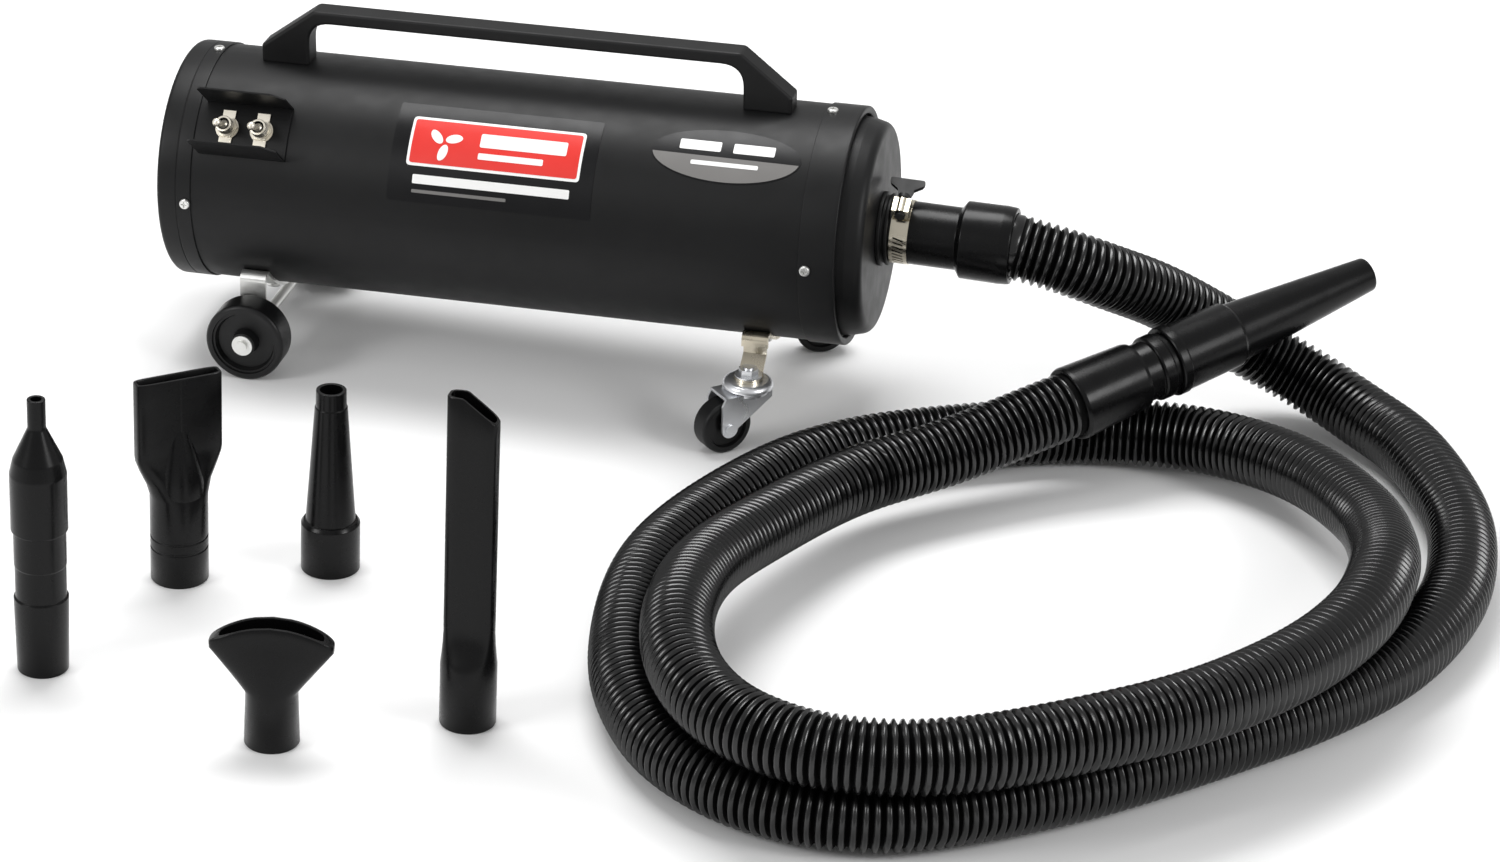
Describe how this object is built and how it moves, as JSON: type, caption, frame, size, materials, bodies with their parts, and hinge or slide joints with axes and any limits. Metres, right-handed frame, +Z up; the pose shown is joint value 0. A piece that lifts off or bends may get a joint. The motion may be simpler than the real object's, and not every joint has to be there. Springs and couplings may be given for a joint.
{
  "type": "car dryer blower",
  "caption": "Wheeled cylindrical car dryer blower with a carry handle, toggle switches, ribbed hose, cone nozzle and loose attachments",
  "frame": {"origin": "on the floor, straight under the middle of the body", "axes": "+X runs from the intake end to the outlet, -Y is the side with the switches, +Z is up"},
  "size_m": [0.9914, 0.7394, 0.2704],
  "materials": {
    "body_paint": "satin black powder coat with a fine texture",
    "handle_plastic": "grained black moulding",
    "black_plastic": "moulded black plastic",
    "tool_plastic": "smooth black moulding with a soft shine",
    "hose_vinyl": "glossy ribbed vinyl",
    "rubber": "black rubber",
    "filter_foam": "open-cell foam",
    "zinc": "bright zinc plate",
    "yellow_zinc": "pale yellow zinc plate",
    "caster_steel": "bright plated pressed steel",
    "switch_chrome": "nickel plate",
    "clamp_steel": "stainless band",
    "key_plastic": "dark grey moulding",
    "wheel_rubber": "hard black rubber",
    "label_film": "printed vinyl film",
    "motor_steel": "pressed steel",
    "winding": "enamelled copper and laminations",
    "brush_brass": "brass holders",
    "fan_aluminium": "pressed aluminium",
    "wire": "insulated leads"
  },
  "bodies": {
    "root": {"body_tube": "body_paint", "rear_cap": "body_paint", "front_cap": "body_paint", "switch_guard": "body_paint", "handle": "handle_plastic", "intake_guard": "black_plastic", "switch_cases": "black_plastic", "cuff_blower": "tool_plastic", "cuff_tool": "tool_plastic", "nozzle_collar": "tool_plastic", "hose": "hose_vinyl", "outlet_neck": "rubber", "cord_inlet": "rubber", "motor_gaskets": "rubber", "intake_filter": "filter_foam", "rear_bracket": "zinc", "rear_axle": "zinc", "axle_washers": "zinc", "bracket_bolts": "zinc", "cap_screws": "zinc", "handle_screws": "zinc", "front_bracket": "yellow_zinc", "caster_stems": "caster_steel", "switch_nuts": "switch_chrome", "switch_tags": "switch_chrome", "clamp_band": "clamp_steel", "clamp_housing": "clamp_steel", "label_main": "label_film", "label_oval": "label_film", "bulkheads": "motor_steel", "fan_case_1": "motor_steel", "fan_case_2": "motor_steel", "end_bracket_1": "motor_steel", "end_bracket_2": "motor_steel", "bearings": "motor_steel", "stator_1": "winding", "stator_2": "winding", "brush_holders": "brush_brass", "wiring": "wire"},
    "switch_lever_1": {"lever_1": "switch_chrome"},
    "switch_lever_2": {"lever_2": "switch_chrome"},
    "wheel_rear_near": {"rear_wheel_near": "wheel_rubber"},
    "wheel_rear_far": {"rear_wheel_far": "wheel_rubber"},
    "fork_near": {"caster_fork_near": "caster_steel", "caster_rivet_near": "caster_steel"},
    "fork_far": {"caster_fork_far": "caster_steel", "caster_rivet_far": "caster_steel"},
    "wheel_caster_near": {"caster_wheel_near": "wheel_rubber"},
    "wheel_caster_far": {"caster_wheel_far": "wheel_rubber"},
    "thumb_key": {"clamp_key": "key_plastic"},
    "armature_1": {"rotor_1": "winding", "fan_1": "fan_aluminium"},
    "armature_2": {"rotor_2": "winding", "fan_2": "fan_aluminium"},
    "nozzle": {"cone_nozzle": "tool_plastic"},
    "tool_pin": {"pin_nozzle": "tool_plastic"},
    "tool_slot": {"slot_tool": "tool_plastic"},
    "tool_cone": {"cone_tool": "tool_plastic"},
    "tool_crevice": {"crevice_tool": "tool_plastic"},
    "tool_fan": {"fan_tool": "tool_plastic"}
  },
  "joints": [
    {"name": "lever_1_flip", "type": "hinge", "parent": "root", "child": "switch_lever_1", "pos_m": [-0.21201, -0.07379, 0.19058], "axis": [-0.9995, 0, -0.0332], "range_deg": [0, 24]},
    {"name": "lever_2_flip", "type": "hinge", "parent": "root", "child": "switch_lever_2", "pos_m": [-0.18602, -0.07379, 0.19144], "axis": [-0.9995, 0, -0.0332], "range_deg": [0, 24]},
    {"name": "rear_wheel_near_turn", "type": "hinge", "parent": "root", "child": "wheel_rear_near", "pos_m": [-0.19, -0.086, 0.0295], "axis": [0, 1, 0], "continuous": true},
    {"name": "rear_wheel_far_turn", "type": "hinge", "parent": "root", "child": "wheel_rear_far", "pos_m": [-0.19, 0.086, 0.0295], "axis": [0, 1, 0], "continuous": true},
    {"name": "caster_near_swivel", "type": "hinge", "parent": "root", "child": "fork_near", "pos_m": [0.184, -0.081, 0.044], "axis": [0, 0, 1], "continuous": true},
    {"name": "caster_far_swivel", "type": "hinge", "parent": "root", "child": "fork_far", "pos_m": [0.184, 0.081, 0.044], "axis": [0, 0, 1], "continuous": true},
    {"name": "caster_near_roll", "type": "hinge", "parent": "fork_near", "child": "wheel_caster_near", "pos_m": [0.16961, -0.09489, 0.02], "axis": [0.6947, -0.7193, 0], "continuous": true},
    {"name": "caster_far_roll", "type": "hinge", "parent": "fork_far", "child": "wheel_caster_far", "pos_m": [0.20213, 0.08945, 0.02], "axis": [-0.4226, 0.9063, 0], "continuous": true},
    {"name": "clamp_key_turn", "type": "hinge", "parent": "root", "child": "thumb_key", "pos_m": [0.27571, -0.0145, 0.17156], "axis": [0, 0.866, 0.5], "continuous": true},
    {"name": "motor_1_spin", "type": "hinge", "parent": "root", "child": "armature_1", "pos_m": [-0.06011, 0, 0.13583], "axis": [0.9995, 0, 0.0332], "continuous": true},
    {"name": "motor_2_spin", "type": "hinge", "parent": "root", "child": "armature_2", "pos_m": [0.1078, 0, 0.1414], "axis": [0.9995, 0, 0.0332], "continuous": true},
    {"name": "cone_nozzle_pull", "type": "slide", "parent": "root", "child": "nozzle", "axis": [0.7162, 0.6678, 0.2028], "range_m": [0, 0.04]},
    {"name": "pin_nozzle_lift", "type": "slide", "parent": "root", "child": "tool_pin", "axis": [0, 0, 1], "range_m": [0, 0.15]},
    {"name": "slot_tool_lift", "type": "slide", "parent": "root", "child": "tool_slot", "axis": [0, 0, 1], "range_m": [0, 0.15]},
    {"name": "cone_tool_lift", "type": "slide", "parent": "root", "child": "tool_cone", "axis": [0, 0, 1], "range_m": [0, 0.15]},
    {"name": "crevice_tool_lift", "type": "slide", "parent": "root", "child": "tool_crevice", "axis": [0, 0, 1], "range_m": [0, 0.15]},
    {"name": "fan_tool_lift", "type": "slide", "parent": "root", "child": "tool_fan", "axis": [0, 0, 1], "range_m": [0, 0.15]}
  ]
}
